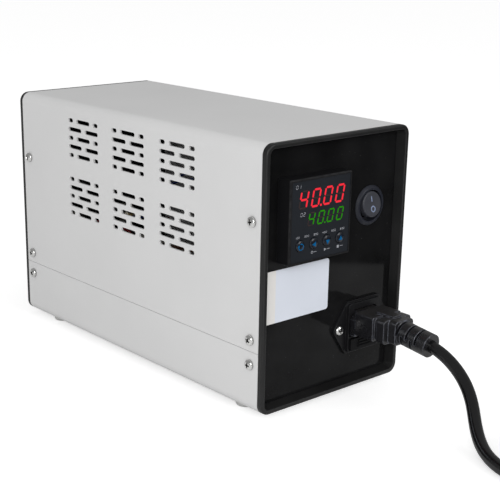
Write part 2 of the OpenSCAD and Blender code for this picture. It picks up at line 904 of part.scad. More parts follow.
floor_z = foot_h + sheet_t;
sink = [50, 78, 34];
sink_mid = [-10, 50];
sink_base = 5;
fin_count = 9;
fin_t = 1.6;
relay = [45, 58, 22];
strip_mid = [30, -22];
strip_pitch = 9.4;
strip_poles = 5;
earth_mid = [34, -74];
tray_holes = concat(
    [for (x = [-1, 1], y = [-1, 1]) sink_mid + [x * (sink.x / 2 + 4.5), y * 30]],
    [for (y = [-1, 1]) strip_mid + [0, y * (strip_poles * strip_pitch / 2 + 4)]],
    [earth_mid]);

// Finned bar with a thick top and two feet
module heat_sink()
    color("darkgray")
        difference() {
            translate([sink_mid.x, sink_mid.y + sink.y / 2, floor_z])
                rotate([90, 0, 0])
                    linear_extrude(sink.y) {
                        translate([-sink.x / 2, sink.z - sink_base])
                            square([sink.x, sink_base]);
                        for (k = [0:fin_count - 1])
                            translate([-sink.x / 2 + k * (sink.x - fin_t) / (fin_count - 1), k % (fin_count - 1) == 0 ? 0 : 6])
                                square([fin_t, sink.z - sink_base - (k % (fin_count - 1) == 0 ? 0 : 6)]);
                        for (s = [-1, 1])
                            translate([s * (sink.x / 2 + 4), 1.5])
                                square([10, 3], center = true);
                    }
            for (x = [-1, 1], y = [-1, 1])
                translate([sink_mid.x + x * (sink.x / 2 + 4.5), sink_mid.y + y * 30, floor_z - 1])
                    cylinder(d = 3.4, h = 6, $fn = 32);
            for (y = [-1, 1])
                translate([sink_mid.x, sink_mid.y + y * 24, floor_z + sink.z - sink_base - 1])
                    cylinder(d = 3.1, h = sink_base + 2, $fn = 32);
        }

module heat_sink_screws()
    color("gainsboro")
        for (x = [-1, 1], y = [-1, 1])
            translate([sink_mid.x + x * (sink.x / 2 + 4.5), sink_mid.y + y * 30, floor_z + 3])
                rotate([-90, 0, 0])
                    pan_screw(6, 2, screw_shaft_d, 6.5);

relay_z = floor_z + sink.z;

// Relay block: a stepped cover over a flat foot plate, with four screw terminals
module solid_state_relay()
    color("whitesmoke")
        translate([sink_mid.x, sink_mid.y, relay_z])
            difference() {
                union() {
                    translate([-relay.x / 2, -relay.y / 2, 0])
                        cube([relay.x, relay.y, 4]);
                    translate([-relay.x / 2, -relay.y / 2 + 9, 0])
                        cube([relay.x, relay.y - 18, relay.z]);
                    for (x = [-1, 1], s = [0, 1])
                        mirror([0, s, 0])
                            translate([x * 14 - 6, -relay.y / 2 + 1, 4])
                                cube([12, 9, 8]);
                }
                for (y = [-1, 1])
                    translate([0, y * 24, -1])
                        cylinder(d = 4.2, h = 30, $fn = 32);
                for (x = [-1, 1], y = [-1, 1])
                    translate([x * 14, y * (relay.y / 2 - 5), 6])
                        cylinder(d = 5, h = 10, $fn = 32);
            }

module relay_screws()
    color("gainsboro") {
        for (y = [-1, 1])
            translate([sink_mid.x, sink_mid.y + y * 24, relay_z + 4])
                rotate([-90, 0, 0])
                    pan_screw(6.4, 2.2, screw_shaft_d, 8);
        for (x = [-1, 1], y = [-1, 1])
            translate([sink_mid.x + x * 14, sink_mid.y + y * (relay.y / 2 - 5), relay_z + 6])
                cylinder(d = 4.6, h = 3, $fn = 32);
    }

module terminal_strip()
    color([0.15, 0.15, 0.15])
        translate([strip_mid.x, strip_mid.y, floor_z])
            difference() {
                union() {
                    translate([-8, -strip_poles * strip_pitch / 2 - 8, 0])
                        cube([16, strip_poles * strip_pitch + 16, 4]);
                    translate([-11, -strip_poles * strip_pitch / 2, 0])
                        cube([22, strip_poles * strip_pitch, 8]);
                    for (k = [0:strip_poles])
                        translate([-11, (k - strip_poles / 2) * strip_pitch - 0.8, 0])
                            cube([22, 1.6, 14]);
                }
                for (y = [-1, 1])
                    translate([0, y * (strip_poles * strip_pitch / 2 + 4), -1])
                        cylinder(d = 3.4, h = 10, $fn = 32);
                for (k = [0:strip_poles - 1], x = [-5.5, 5.5])
                    translate([x, (k + 0.5 - strip_poles / 2) * strip_pitch, 5])
                        cylinder(d = 4.4, h = 4, $fn = 32);
            }

module earth_stud()
    color("goldenrod")
        translate([earth_mid.x, earth_mid.y, floor_z]) {
            rotate([90, 0, 0])
                hex_nut(7, 3, 3.2);
            translate([0, 0, -sheet_t])
                cylinder(d = 3.2, h = 13, $fn = 32);
        }

// ---------------------------------------------------------------- wires inside

wire_d = 2.4;
thin_d = 1.6;
inlet_back = front_y + recess_depth + inlet_depth + 8;
switch_back = front_y + recess_depth + sw_depth + 9;
contact_back = front_y + body_d - recess_depth - 17;
wire_top = foot_h + ctl_z + 34;

function inlet_tab(i) = [inlet_x + pin_places[i].x, inlet_back, foot_h + inlet_z + cavity_z + pin_places[i].y];
function switch_tab(s) = [sw_x, switch_back, foot_h + sw_z + s * 5];
function relay_post(x, y) = [sink_mid.x + x * 14, sink_mid.y + y * (relay.y / 2 - 5), relay_z + 9];
function strip_post(x, k) =
    [strip_mid.x + x * 5.5, strip_mid.y + (k + 0.5 - strip_poles / 2) * strip_pitch, floor_z + 5];
function ctl_post(x, z) =
    [ctl_x + term_rows[x], front_y - ctl_proud + term_y + 4 + term_head_h, foot_h + ctl_z + term_cols[z]];
function contact_end(at, turn, ring) =
    [at.x + ring * cos(turn), contact_back, foot_h + at.y + ring * sin(turn)];

module wire(points, d)
    sweep(smooth(points, 3), d, 6);

// Live and neutral, from the inlet up to the switch
module mains_wires()
    color("saddlebrown")
        for (i = [0, 1]) {
            a = inlet_tab(i);
            b = switch_tab(2 * i - 1);
            wire([a, a + [0, 5, 0], a + [0, 12, 14], [b.x + (2 * i - 1) * 4, a.y + 14, b.z - 22],
                b + [(2 * i - 1) * 3, 10, -6], b + [0, 4, 0], b], wire_d);
        }

module earth_wire()
    color("yellowgreen") {
        a = inlet_tab(2);
        b = [earth_mid.x, earth_mid.y, floor_z + 11.8];
        wire([a, a + [0, 5, 0], [b.x, b.y, b.z + 12], b + [0, 0, 5], b], wire_d);
    }

// From the terminal strip over to the relay's near posts
module relay_wires()
    color("saddlebrown")
        for (k = [0, 1]) {
            a = strip_post(-1, 4 - k);
            b = relay_post(1 - 2 * k, -1);
            wire([a, a + [0, 0, 6], a + [-6 - 4 * k, 6, 40 + 5 * k], b + [6, -10, 14 + 5 * k], b + [0, 0, 6], b], wire_d);
        }

module output_wires()
    color("firebrick")
        for (k = [0, 1]) {
            a = contact_end(out_at, k == 0 ? 135 : 45, out_ring);
            b = relay_post(2 * k - 1, 1);
            wire([a, a - [0, 6, 0], [(a.x + b.x) / 2, (a.y + b.y) / 2, a.z + 2], b + [0, 2, 8], b], wire_d);
        }

// Sensor leads to the controller's inner column of terminals
module signal_wires()
    color("navy")
        for (k = [0, 1]) {
            a = contact_end(sense_at, k == 0 ? 165 : 45, sense_ring);
            b = ctl_post(1, 2 + k);
            wire([a, a - [0, 8, 0], a + [2 - 4 * k, -30, 26], [sense_at.x - 2 - 4 * k, 20, b.z - 4],
                b + [4, 24, 0], b + [0, 6, 0], b], thin_d);
        }

// ---------------------------------------------------------------- mains lead
// The connector is drawn about its axis, with y = 0 on the inlet's front, cord end towards -y

lead_z = cavity_z;
grip_w = 24.2;
grip_h = 14.5;
// The grip sits a little above the nose's middle, and the strain relief sags from its end
lead_rise = 0.6;
relief_sag = 7;
relief_d = 14.2;
relief_start = -30.5;
relief_len = 21;
relief_rings = 5;
relief_pitch = 3.35;

module at_lead()
    at_inlet()
        translate([0, inlet_front, lead_z])
            children();

// Slots from above and from below by turns, which leave a round core
module relief_slots()
    for (k = [0:relief_rings - 1])
        translate([0, -0.9 - k * relief_pitch, 0])
            rotate([0, k % 2 == 0 ? 0 : 180, 0])
                translate([-relief_d, -0.75, -0.6])
                    difference() {
                        cube([2 * relief_d, 1.5, relief_d]);
                        translate([relief_d, 3, 0.6])
                            rotate([90, 0, 0])
                                cylinder(d = relief_d - 5, h = 5, $fn = 48);
                    }

module lead_connector()
    color([0.13, 0.13, 0.14])
        at_lead()
            difference() {
                union() {
                    plate(-3.6, cavity_depth - 0.8)
                        cavity_shape(1);
                    translate([0, 0, lead_rise + 0.25]) {
                        plate(-17.5, -3.6)
                            rounded(grip_w, grip_h, 1.2);
                        plate(-20, -17.5)
                            rounded(grip_w - 3, grip_h - 2, 1.6);
                        plate(-25.6, -20)
                            rounded(grip_w - 0.8, grip_h, 2.4);
                        plate(relief_start - 0.5, -25.6)
                            rounded(15.6, grip_h, 2.6);
                        translate([0, 0, grip_h / 2 - 2])
                            linear_extrude(3.2)
                                polygon([[-4.2, -13], [4.2, -13], [3.6, -25.6], [-3.6, -25.6]]);
                    }
                    translate([0, relief_start, lead_rise])
                        rotate([relief_sag, 0, 0])
                            rod_y(relief_d, -relief_len, 1.5);
                }
                for (p = pin_places)
                    translate([p.x, 0, p.y])
                        plate(0, cavity_depth)
                            square([4.4, 2.4], center = true);
                translate([0, relief_start, lead_rise])
                    rotate([relief_sag, 0, 0])
                        relief_slots();
            }

// Direction of the cord at equal stations behind the strain relief, in degrees: [below level, to the left].
// It sags, lands, and runs straight on to the coil.
fall_turns = [[13, 3], [26, 3], [36, 11], [38, 28], [36, 40], [26, 39], [15, 32], [6, 21], [1, 10], [0, 3], [0, 0],
    [0, 0]];
station = 12;
steps = 3;
cord_start = [inlet_x, front_y + recess_depth + inlet_front, foot_h + inlet_z + lead_z]
    + [0, relief_start, lead_rise] - relief_len * [0, cos(relief_sag), sin(relief_sag)];
fall_ways = [for (h = smooth(fall_turns, steps)) [-sin(h.y) * cos(h.x), -cos(h.y) * cos(h.x), -sin(h.x)]];
walked = [for (i = 0, p = [0, 0, 0]; i < len(fall_ways); p = p + station / steps * fall_ways[i], i = i + 1) p];
landing = walked[len(walked) - 1];
// The drop is stretched a little so that the cord lies on the table at its end
cord_points = [for (p = walked) cord_start + [p.x, p.y, -p.z / landing.z * (cord_start.z - cord_d / 2)]];

coil_r = 40;
low_turns = ceil(coil_turns / 2);
high_turns = coil_turns - low_turns;
low_half = low_turns * cord_d / 2;
high_half = high_turns * cord_d / 2;
layer_rise = cord_d * sqrt(3) / 2;
coil_mid = [cord_start.x + landing.x + coil_r + low_half - cord_d / 2, cord_start.y + landing.y];
// A quarter turn on top of the coil, then a bend inwards that climbs to the plug lying on it
top_z = cord_d / 2 + 2 * layer_rise;
plug_z = 23.4;
bend_r = 30;
top_turn = [for (a = [180:15:270]) [coil_mid.x + coil_r * cos(a), coil_mid.y + coil_r * sin(a), top_z]];
climb = [for (t = [15:15:90])
    [coil_mid.x + bend_r * sin(t), coil_mid.y - coil_r + bend_r * (1 - cos(t)),
     top_z + (plug_z - top_z) * (1 - cos(2 * t)) / 2]];
plug_at = climb[len(climb) - 1] + [0, 3, 0];

module mains_cord()
    color([0.10, 0.10, 0.11]) sweep(cord_points, cord_d, 10);

module cord_tail()
    color([0.10, 0.10, 0.11]) sweep(concat(top_turn, climb, [plug_at]), cord_d, 10);

module cord_coil()
    color([0.10, 0.10, 0.11])
        translate([coil_mid.x, coil_mid.y, 0])
            rotate_extrude($fn = 96)
                polygon([[coil_r - low_half, 0], [coil_r + low_half, 0], [coil_r + low_half, cord_d],
                    [coil_r + high_half, cord_d + layer_rise], [coil_r - high_half, cord_d + layer_rise],
                    [coil_r - low_half, cord_d]]);

// Band closed round the bundle of turns
module coil_tie()
    color("dimgray")
        translate([coil_mid.x, coil_mid.y, 0])
            rotate([0, 0, 100])
                translate([coil_r, 2.5, 0])
                    rotate([90, 0, 0])
                        linear_extrude(5)
                            difference() {
                                translate([-low_half - 1.2, 0])
                                    square([2 * low_half + 2.4, cord_d + layer_rise + 1]);
                                translate([-low_half - 0.2, -1])
                                    square([2 * low_half + 0.4, cord_d + layer_rise + 1]);
                            }

// Moulded plug with two flat blades and a round earth pin
module mains_plug()
    color([0.13, 0.13, 0.14])
        translate(plug_at) {
            turned_y([[0, 0], [5.2, 0], [6.6, 20], [0, 20]]);
            for (k = [0:3])
                translate([0, 3 + 4 * k, 0])
                    turned_y([[0, 0], [6.8, 0], [6.8, 2], [0, 2]]);
            plate(20, 34)
                rounded(21, 17, 6);
            plate(34, 48)
                rounded(25, 19.6, 7);
            for (s = [-1, 1])
                translate([s * 6.35, 0, 2.4])
                    plate(48, 64)
                        square([1.6, 6.4], center = true);
            translate([0, 0, -4.8])
                rod_y(4.8, 48, 66);
        }

top_cover();
bottom_tray();
front_frame();
rear_frame();
front_panel();
rear_panel();
cover_screws();
tray_screws();
foot_front_left();
foot_front_right();
foot_rear_left();
foot_rear_right();
foot_screws();
foot_nuts();
blank_label();
controller_bezel();
controller_face();
controller_case();
controller_clamp();
upper_display();
lower_display();
controller_board();
controller_terminals();
terminal_screws();
key_cycle();
key_shift();
key_down();
key_up();
switch_body();
switch_rocker();
switch_terminals();
inlet_body();
inlet_pins();
inlet_screws();
inlet_nuts();
fuse_drawer();
fuse();
output_socket();
output_contacts();
output_nut();
sensor_socket();
sensor_contacts();
sensor_nut();
heat_sink();
solid_state_relay();
relay_screws();
heat_sink_screws();
terminal_strip();
earth_stud();
mains_wires();
earth_wire();
relay_wires();
output_wires();
signal_wires();
lead_connector();
mains_cord();
cord_coil();
cord_tail();
coil_tie();
mains_plug();
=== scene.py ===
import math

import bmesh
import bpy
from mathutils import Matrix, Vector
from mathutils.bvhtree import BVHTree


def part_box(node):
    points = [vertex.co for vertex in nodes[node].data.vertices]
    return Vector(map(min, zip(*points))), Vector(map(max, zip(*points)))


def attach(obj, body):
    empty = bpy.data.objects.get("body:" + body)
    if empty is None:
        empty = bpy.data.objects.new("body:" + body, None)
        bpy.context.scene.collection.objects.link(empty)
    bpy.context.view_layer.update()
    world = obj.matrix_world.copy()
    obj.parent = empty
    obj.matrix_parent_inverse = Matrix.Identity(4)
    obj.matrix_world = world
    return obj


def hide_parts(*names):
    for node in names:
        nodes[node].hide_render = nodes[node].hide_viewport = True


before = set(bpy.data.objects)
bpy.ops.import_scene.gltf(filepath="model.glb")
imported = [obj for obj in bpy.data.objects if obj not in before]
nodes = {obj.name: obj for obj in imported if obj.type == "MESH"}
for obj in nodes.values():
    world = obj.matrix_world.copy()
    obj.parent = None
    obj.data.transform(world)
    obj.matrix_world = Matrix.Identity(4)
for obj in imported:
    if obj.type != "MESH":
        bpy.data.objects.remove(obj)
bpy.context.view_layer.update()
MM = 0.001


# %% Objects in the scene
def shown(name, data):
    """A new object that holds the data and stands in the scene."""
    made = bpy.data.objects.new(name, data)
    bpy.context.scene.collection.objects.link(made)
    return made


# %% [markdown]
# The camera is a short telephoto, a little above the case and turned to its left, so that the controls
# and the vented side are both seen. Its place is worked out from a turn, a height and a distance round a
# point inside the case, and it is rolled by half a degree.
# %% Camera
turn, height, roll = (math.radians(a) for a in (-40.275, 16.947, 0.5465))
aim = Vector((-42.77, -64.1, 71.08)) * MM
distance = 0.67725  # metres from the aim
back = Vector((math.sin(turn) * math.cos(height), -math.cos(turn) * math.cos(height), math.sin(height)))
level = (-back).cross(Vector((0, 0, 1))).normalized()
rise = level.cross(-back)
across = level * math.cos(roll) + rise * math.sin(roll)
upwards = rise * math.cos(roll) - level * math.sin(roll)
camera = shown("camera", bpy.data.cameras.new("camera"))
facing = Matrix((across, upwards, back)).transposed().to_4x4()
camera.matrix_world = Matrix.Translation(aim + back * distance) @ facing
camera.data.lens = 82.17
camera.data.shift_x, camera.data.shift_y = 0.0743, 0.0505
bpy.context.scene.camera = camera
print("camera at", [round(c, 3) for c in camera.matrix_world.translation])


# %% [markdown]
# The mains lead is one round cord, 7.2 mm thick and 1.5 m long. It leaves the connector's strain relief,
# sags to the table in a loose curve and runs out of view, where its unused length is wound into a coil.
# The fall is walked in short steps from a list of directions, the way a cord is bent by its own weight:
# steeper at first, then flatter again until it lies on the table.
# %% Smooth line through points
def through(points, steps):
    """Points on a smooth line that passes through every given point."""
    out = []
    at = lambda i: Vector(points[min(max(i, 0), len(points) - 1)])
    for i in range(len(points) - 1):
        a, b, c, d = at(i - 1), at(i), at(i + 1), at(i + 2)
        for k in range(steps):
            t = k / steps
            square, cube = (2 * a - 5 * b + 4 * c - d) * t * t, (3 * b - a - 3 * c + d) * t**3
            out.append(0.5 * (2 * b + (c - a) * t + square + cube))
    return out + [Vector(points[-1])]


# %% The cord's fall
thick = 7.2
relief_x, relief_y, relief_z = 27.9, -152.6, 44.2  # where the strain relief begins
relief_length, relief_sag = 21, math.radians(7)
start = Vector((relief_x, relief_y - relief_length * math.cos(relief_sag),
                relief_z - relief_length * math.sin(relief_sag)))
station, steps = 12, 3  # millimetres between the directions below, and points made for each
fall_turns = [(13, 3), (26, 3), (36, 11), (38, 28), (36, 40), (26, 39),
              (15, 32), (6, 21), (1, 10), (0, 3), (0, 0), (0, 0)]  # degrees below level, and to the left
walked = [Vector((0, 0, 0))]
for below, left in through(fall_turns, steps)[:-1]:
    below, left = math.radians(below), math.radians(left)
    way = Vector((-math.sin(left) * math.cos(below), -math.cos(left) * math.cos(below), -math.sin(below)))
    walked.append(walked[-1] + way * station / steps)
landing = walked[-1]
fall = [start + Vector((p.x, p.y, -p.z / landing.z * (start.z - thick / 2))) for p in walked]
print("fall ends at", [round(c, 1) for c in fall[-1]])

# %% [markdown]
# A coil that lies flat is three turns side by side, two more in the grooves between them, and a last
# quarter turn on top. The first half of every turn is a true circle. In its other half the cord moves over by
# one diameter, slowly enough that no bend is sharp. Where it must climb it rolls round its neighbour and
# never passes through it. The end bends inwards and climbs to the plug, which lies on the coil.
# %% Turns of the coil
coil_radius = 40
step_angle, half_turn, quarter_turn = 5, 36, 18  # degrees in a step, and steps in half and a quarter turn
middle = Vector((fall[-1].x + coil_radius + thick, fall[-1].y, 0))
radii = [coil_radius + thick * k for k in (1, 0, -1, -0.5, 0.5, 0)]
lift = thick * math.sqrt(3) / 2


def cross_section(k, s):
    """Radius and height of turn k, where s runs from 0 to 1 through the change to the next turn."""
    ease = s * s * (3 - 2 * s)
    if k < 2:
        return radii[k] - thick * ease, thick / 2
    if k == 2:
        a = math.radians(180 - 120 * ease)
        r, z = cross_section(1, s)
        return r + thick * math.cos(a), z + thick * math.sin(a)
    if k == 3:
        up = min(s, 1 - s, 0.3) / 0.3
        return radii[3] + thick * ease, thick / 2 + lift + (thick - lift) * up**3 * (10 - 15 * up + 6 * up * up)
    a = math.radians(120 * ease)
    r, z = cross_section(3, s)
    return r + thick * math.cos(a), z + thick * math.sin(a)


heights = [thick / 2] * 3 + [thick / 2 + lift] * 2 + [thick / 2 + 2 * lift]
turns = []
for k in range(6):
    for step in range(2 * half_turn if k < 5 else quarter_turn + 1):
        angle = math.radians(180 + step * step_angle)
        r, z = radii[k], heights[k]
        if k < 5 and step > half_turn:
            r, z = cross_section(k, (step - half_turn) / half_turn)
        turns.append(middle + Vector((r * math.cos(angle), r * math.sin(angle), z)))
bend, plug_height = 30, 23.4  # radius of the bend to the plug, and height of the cord there
climb = []
for step in range(1, quarter_turn + 1):
    t = math.radians(step * step_angle)
    rise_by = (plug_height - heights[5]) * (1 - math.cos(2 * t)) / 2
    place = (bend * math.sin(t), -coil_radius + bend * (1 - math.cos(t)), heights[5] + rise_by)
    climb.append(middle + Vector(place))
climb.append(climb[-1] + Vector((0, 3, 0)))
print("coil of", len(turns), "points, plug at height", plug_height)

# %% [markdown]
# The whole lead is one open spline with a round bevel.
# %% The lead
route = through(fall, 3)[:-1] + turns + climb
cord_curve = bpy.data.curves.new("mains_lead", "CURVE")
cord_curve.dimensions = "3D"
line = cord_curve.splines.new("POLY")
line.points.add(len(route) - 1)
for point, place in zip(line.points, route):
    point.co = (*(place * MM), 1)
    point.radius = thick / 2 * MM
cord_curve.bevel_depth = 1
cord_curve.bevel_resolution = 6
cord_curve.use_fill_caps = True
lead = shown("mains_lead", cord_curve)
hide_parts("mains_cord", "cord_coil", "cord_tail")
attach(lead, "unit")

# %% [markdown]
# The table is a plain pale sheet that shows the shadow of the case. The camera sees the surroundings as
# plain white, which comes from the colour of the sheet and the sky and not from more light on the object.
# In the glossy panel the table ends in front of the case and to its right, with a dark room beyond it.
# %% Helpers for nodes and meshes
def plain_mesh(name, points, faces):
    mesh = bpy.data.meshes.new(name)
    mesh.from_pydata([tuple(Vector(p)) for p in points], [], faces)
    mesh.update()
    return shown(name, mesh)


def tree_of(name):
    """A new material with its nodes, its links, its shader and object coordinates."""
    material = bpy.data.materials.new(name)
    material.use_nodes = True
    tree = material.node_tree
    shader = tree.nodes["Principled BSDF"]
    coords = tree.nodes.new("ShaderNodeTexCoord").outputs["Object"]
    return material, tree, shader, coords


def maths(tree, operation, *values):
    """A maths node whose inputs are linked or set in their order."""
    made = tree.nodes.new("ShaderNodeMath")
    made.operation = operation
    for socket, value in zip(made.inputs, values):
        if isinstance(value, bpy.types.NodeSocket):
            tree.links.new(value, socket)
        else:
            socket.default_value = value
    return made.outputs[0]


def either_shader(tree, amount, first, second):
    """The first shader where the amount is 0, and the second where it is 1."""
    made = tree.nodes.new("ShaderNodeMixShader")
    for socket, value in zip(made.inputs, (amount, first, second)):
        tree.links.new(value, socket)
    return made.outputs[0]


def ray_kinds(tree):
    """Whether a ray is the camera's own, straight or through glass, and whether it was mirrored."""
    rays = tree.nodes.new("ShaderNodeLightPath").outputs
    return maths(tree, "MAXIMUM", rays["Is Camera Ray"], rays["Is Transmission Ray"]), rays["Is Glossy Ray"]


# %% Table
table_glow = 0.55  # lifts the sheet to plain white for the camera
edge_way = (0.670, -0.742, 0)  # the way from the case to the mirrored edge
edge_distance = 0.373  # metres along that way
table = plain_mesh("table", [(-6, -6, 0), (6, -6, 0), (6, 6, 0), (-6, 6, 0)], [(0, 1, 2, 3)])
table_finish, tree, shader, coords = tree_of("white_table")
shader.inputs["Base Color"].default_value = (0.8, 0.8, 0.8, 1)
shader.inputs["Roughness"].default_value = 0.9
direct, mirrored = ray_kinds(tree)
glow = tree.nodes.new("ShaderNodeEmission")
glow.inputs["Color"].default_value = (1, 1, 1, 1)
tree.links.new(maths(tree, "MULTIPLY", direct, table_glow), glow.inputs["Strength"])
both = tree.nodes.new("ShaderNodeAddShader")
tree.links.new(shader.outputs[0], both.inputs[0])
tree.links.new(glow.outputs[0], both.inputs[1])
along = tree.nodes.new("ShaderNodeVectorMath")
along.operation = "DOT_PRODUCT"
along.inputs[1].default_value = edge_way
tree.links.new(coords, along.inputs[0])
beyond = maths(tree, "GREATER_THAN", along.outputs["Value"], edge_distance)
dark_room = tree.nodes.new("ShaderNodeEmission")
dark_room.inputs["Strength"].default_value = 0
ended = either_shader(tree, maths(tree, "MULTIPLY", beyond, mirrored), both.outputs[0], dark_room.outputs[0])
tree.links.new(ended, tree.nodes["Material Output"].inputs["Surface"])
table.data.materials.append(table_finish)

# %% Sky
sky_strength, mirrored_strength = 0.55, 0.28
world = bpy.data.worlds.new("surroundings")
bpy.context.scene.world = world
world.use_nodes = True
sky = world.node_tree
plain = sky.nodes["Background"]
plain.inputs["Color"].default_value = (1, 1, 1, 1)
white = sky.nodes.new("ShaderNodeBackground")
white.inputs["Color"].default_value = (1, 1, 1, 1)
white.inputs["Strength"].default_value = 1.0
direct, mirrored = ray_kinds(sky)
dimmed = maths(sky, "MULTIPLY_ADD", mirrored, mirrored_strength - sky_strength, sky_strength)
sky.links.new(dimmed, plain.inputs["Strength"])
around = either_shader(sky, direct, plain.outputs[0], white.outputs[0])
sky.links.new(around, sky.nodes["World Output"].inputs["Surface"])
bpy.context.scene.view_settings.view_transform = "Standard"

# %% [markdown]
# One large soft lamp stands to the left and in front, so the vented side is the brightest face. A second one
# stands low in front of the black face, so that its edges and the white label stay readable.
# %% Lamps
def soft_lamp(name, place, towards, size, watts):
    lamp = bpy.data.lights.new(name, "AREA")
    lamp.shape = "DISK"
    lamp.size = size
    lamp.energy = watts
    made = shown(name, lamp)
    made.location = place
    made.rotation_euler = (Vector(towards) - Vector(place)).to_track_quat("-Z", "Y").to_euler()
    made.visible_camera = False


soft_lamp("left_lamp", (-1.0, -0.95, 0.62), (0, 0, 0.08), 0.8, 7.9)
soft_lamp("front_lamp", (0.5, -1.5, 0.78), (0, 0, 0.08), 0.8, 7.5)


# %% [markdown]
# Most finishes here share one recipe: a base colour that drifts a little across the surface, a fine grain
# in the bump, and a roughness that varies with it. Moulded plastic also catches the light on its rounded
# edges and is painted paler there, partly as rubbed wear and partly as a painted highlight. Black plastic
# shows every speck of dust, what faces up can be made paler and browner, and painted shade darkens narrow
# corners. The helper takes those amounts, so that each finish stays short.
# %% Recipe for a surface finish
def noise(tree, coords, size, detail=2):
    made = tree.nodes.new("ShaderNodeTexNoise")
    made.inputs["Scale"].default_value = 1000 / size
    made.inputs["Detail"].default_value = detail
    tree.links.new(coords, made.inputs["Vector"])
    return made.outputs["Fac"]


def ranged(tree, value, low, high, start=0.0, end=1.0):
    """Map low..high of a value to start..end."""
    made = tree.nodes.new("ShaderNodeMapRange")
    made.inputs["From Min"].default_value, made.inputs["From Max"].default_value = low, high
    made.inputs["To Min"].default_value, made.inputs["To Max"].default_value = start, end
    tree.links.new(value, made.inputs["Value"])
    return made.outputs["Result"]


def product(tree, a, b):
    return maths(tree, "MULTIPLY", a, b)


def mixed(tree, amount, below, colour):
    """A colour laid over the one below it by an amount."""
    made = tree.nodes.new("ShaderNodeMix")
    made.data_type = "RGBA"
    tree.links.new(amount, made.inputs["Factor"])
    tree.links.new(below, made.inputs["A"])
    made.inputs["B"].default_value = (*colour, 1)
    return made.outputs["Result"]


def finish(name, colour, roughness, drift=0.05, drift_size=20, grain=0.1, grain_size=0.4, metallic=0.0,
           specular=0.5, rough_drift=0.05, edge=0.0, wear_and_highlight=0.0, worn_and_highlit=(0.09, 0.09, 0.095), dust=0.0, paler_facing_up=0.0,
           painted_shade=0.0):
    """Drift, grain, edge wear and highlight, dust and the paler colour facing up are amounts. Sizes, edge and the
    reach of the painted shade are in millimetres.
    """
    material, tree, shader, coords = tree_of(name)
    wide = noise(tree, coords, drift_size, 4)
    shades = tree.nodes.new("ShaderNodeValToRGB")
    for spot, factor, place in zip(shades.color_ramp.elements, (1 - drift, 1 + drift), (0.3, 0.7)):
        spot.color = (*[min(c * factor, 1) for c in colour], 1)
        spot.position = place
    tree.links.new(wide, shades.inputs["Fac"])
    base = shades.outputs["Color"]
    bump = tree.nodes.new("ShaderNodeBump")
    bump.inputs["Strength"].default_value = grain
    bump.inputs["Distance"].default_value = grain_size * MM * 0.2
    tree.links.new(noise(tree, coords, grain_size), bump.inputs["Height"])
    if edge:
        rounded = tree.nodes.new("ShaderNodeBevel")
        rounded.samples = 6
        rounded.inputs["Radius"].default_value = edge * MM
        tree.links.new(rounded.outputs["Normal"], bump.inputs["Normal"])
        # The paler colour on rounded edges is partly rubbed wear and partly a painted highlight.
        if wear_and_highlight:
            facing = tree.nodes.new("ShaderNodeVectorMath")
            facing.operation = "DOT_PRODUCT"
            tree.links.new(rounded.outputs["Normal"], facing.inputs[0])
            tree.links.new(tree.nodes.new("ShaderNodeNewGeometry").outputs["True Normal"], facing.inputs[1])
            turned = ranged(tree, facing.outputs["Value"], 0.99, 0.86)
            patchy = ranged(tree, noise(tree, coords, 3, 5), 0.38, 0.62, 0.25 * wear_and_highlight, wear_and_highlight)
            base = mixed(tree, product(tree, turned, patchy), base, worn_and_highlit)
    if dust:
        cells = tree.nodes.new("ShaderNodeTexVoronoi")
        cells.inputs["Scale"].default_value = 1000 / 2.2
        tree.links.new(coords, cells.inputs["Vector"])
        split = tree.nodes.new("ShaderNodeSeparateColor")
        tree.links.new(cells.outputs["Color"], split.inputs["Color"])
        small = ranged(tree, cells.outputs["Distance"], 0.11, 0.05)
        speck = product(tree, small, ranged(tree, split.outputs[0], 0.6, 0.95))
        speck = product(tree, speck, ranged(tree, wide, 0.4, 0.7, 0.2 * dust, dust))
        base = mixed(tree, speck, base, (0.12, 0.12, 0.12))
    # The base colour is made paler and browner where the surface faces up.
    if paler_facing_up:
        split = tree.nodes.new("ShaderNodeSeparateXYZ")
        tree.links.new(tree.nodes.new("ShaderNodeNewGeometry").outputs["Normal"], split.inputs["Vector"])
        facing_up = ranged(tree, split.outputs["Z"], 0.6, 1.0)
        facing_up = product(tree, facing_up, ranged(tree, wide, 0.35, 0.65, 0.5 * paler_facing_up, paler_facing_up))
        base = mixed(tree, facing_up, base, (0.125, 0.115, 0.105))
    # Painted shade: the base colour is darkened in narrow corners and recesses, where shade falls.
    if painted_shade:
        shade_in_nooks = tree.nodes.new("ShaderNodeAmbientOcclusion")
        shade_in_nooks.samples = 8
        shade_in_nooks.inputs["Distance"].default_value = painted_shade * MM
        base = mixed(tree, ranged(tree, shade_in_nooks.outputs["AO"], 0.85, 0.4), base, (0.012, 0.012, 0.013))
    tree.links.new(base, shader.inputs["Base Color"])
    tree.links.new(bump.outputs["Normal"], shader.inputs["Normal"])
    smoothest, roughest = max(roughness - rough_drift, 0.02), min(roughness + rough_drift, 1)
    tree.links.new(ranged(tree, wide, 0, 1, smoothest, roughest), shader.inputs["Roughness"])
    shader.inputs["Metallic"].default_value = metallic
    shader.inputs["Specular IOR Level"].default_value = specular
    return material


def dress(material, *names):
    for name in names:
        made = nodes[name] if isinstance(name, str) else name
        made.data.materials.clear()
        made.data.materials.append(material)


# %% [markdown]
# The cover and the tray are steel sheet with a light grey powder coat: nearly flat in colour, satin, with a
# very fine orange-peel texture.
# %% Painted sheet
cover_paint = finish("grey_powder_coat", (0.745, 0.745, 0.745), 0.5, drift=0.015, drift_size=60, grain=0.25,
                     grain_size=0.5)
dress(cover_paint, "top_cover", "bottom_tray")
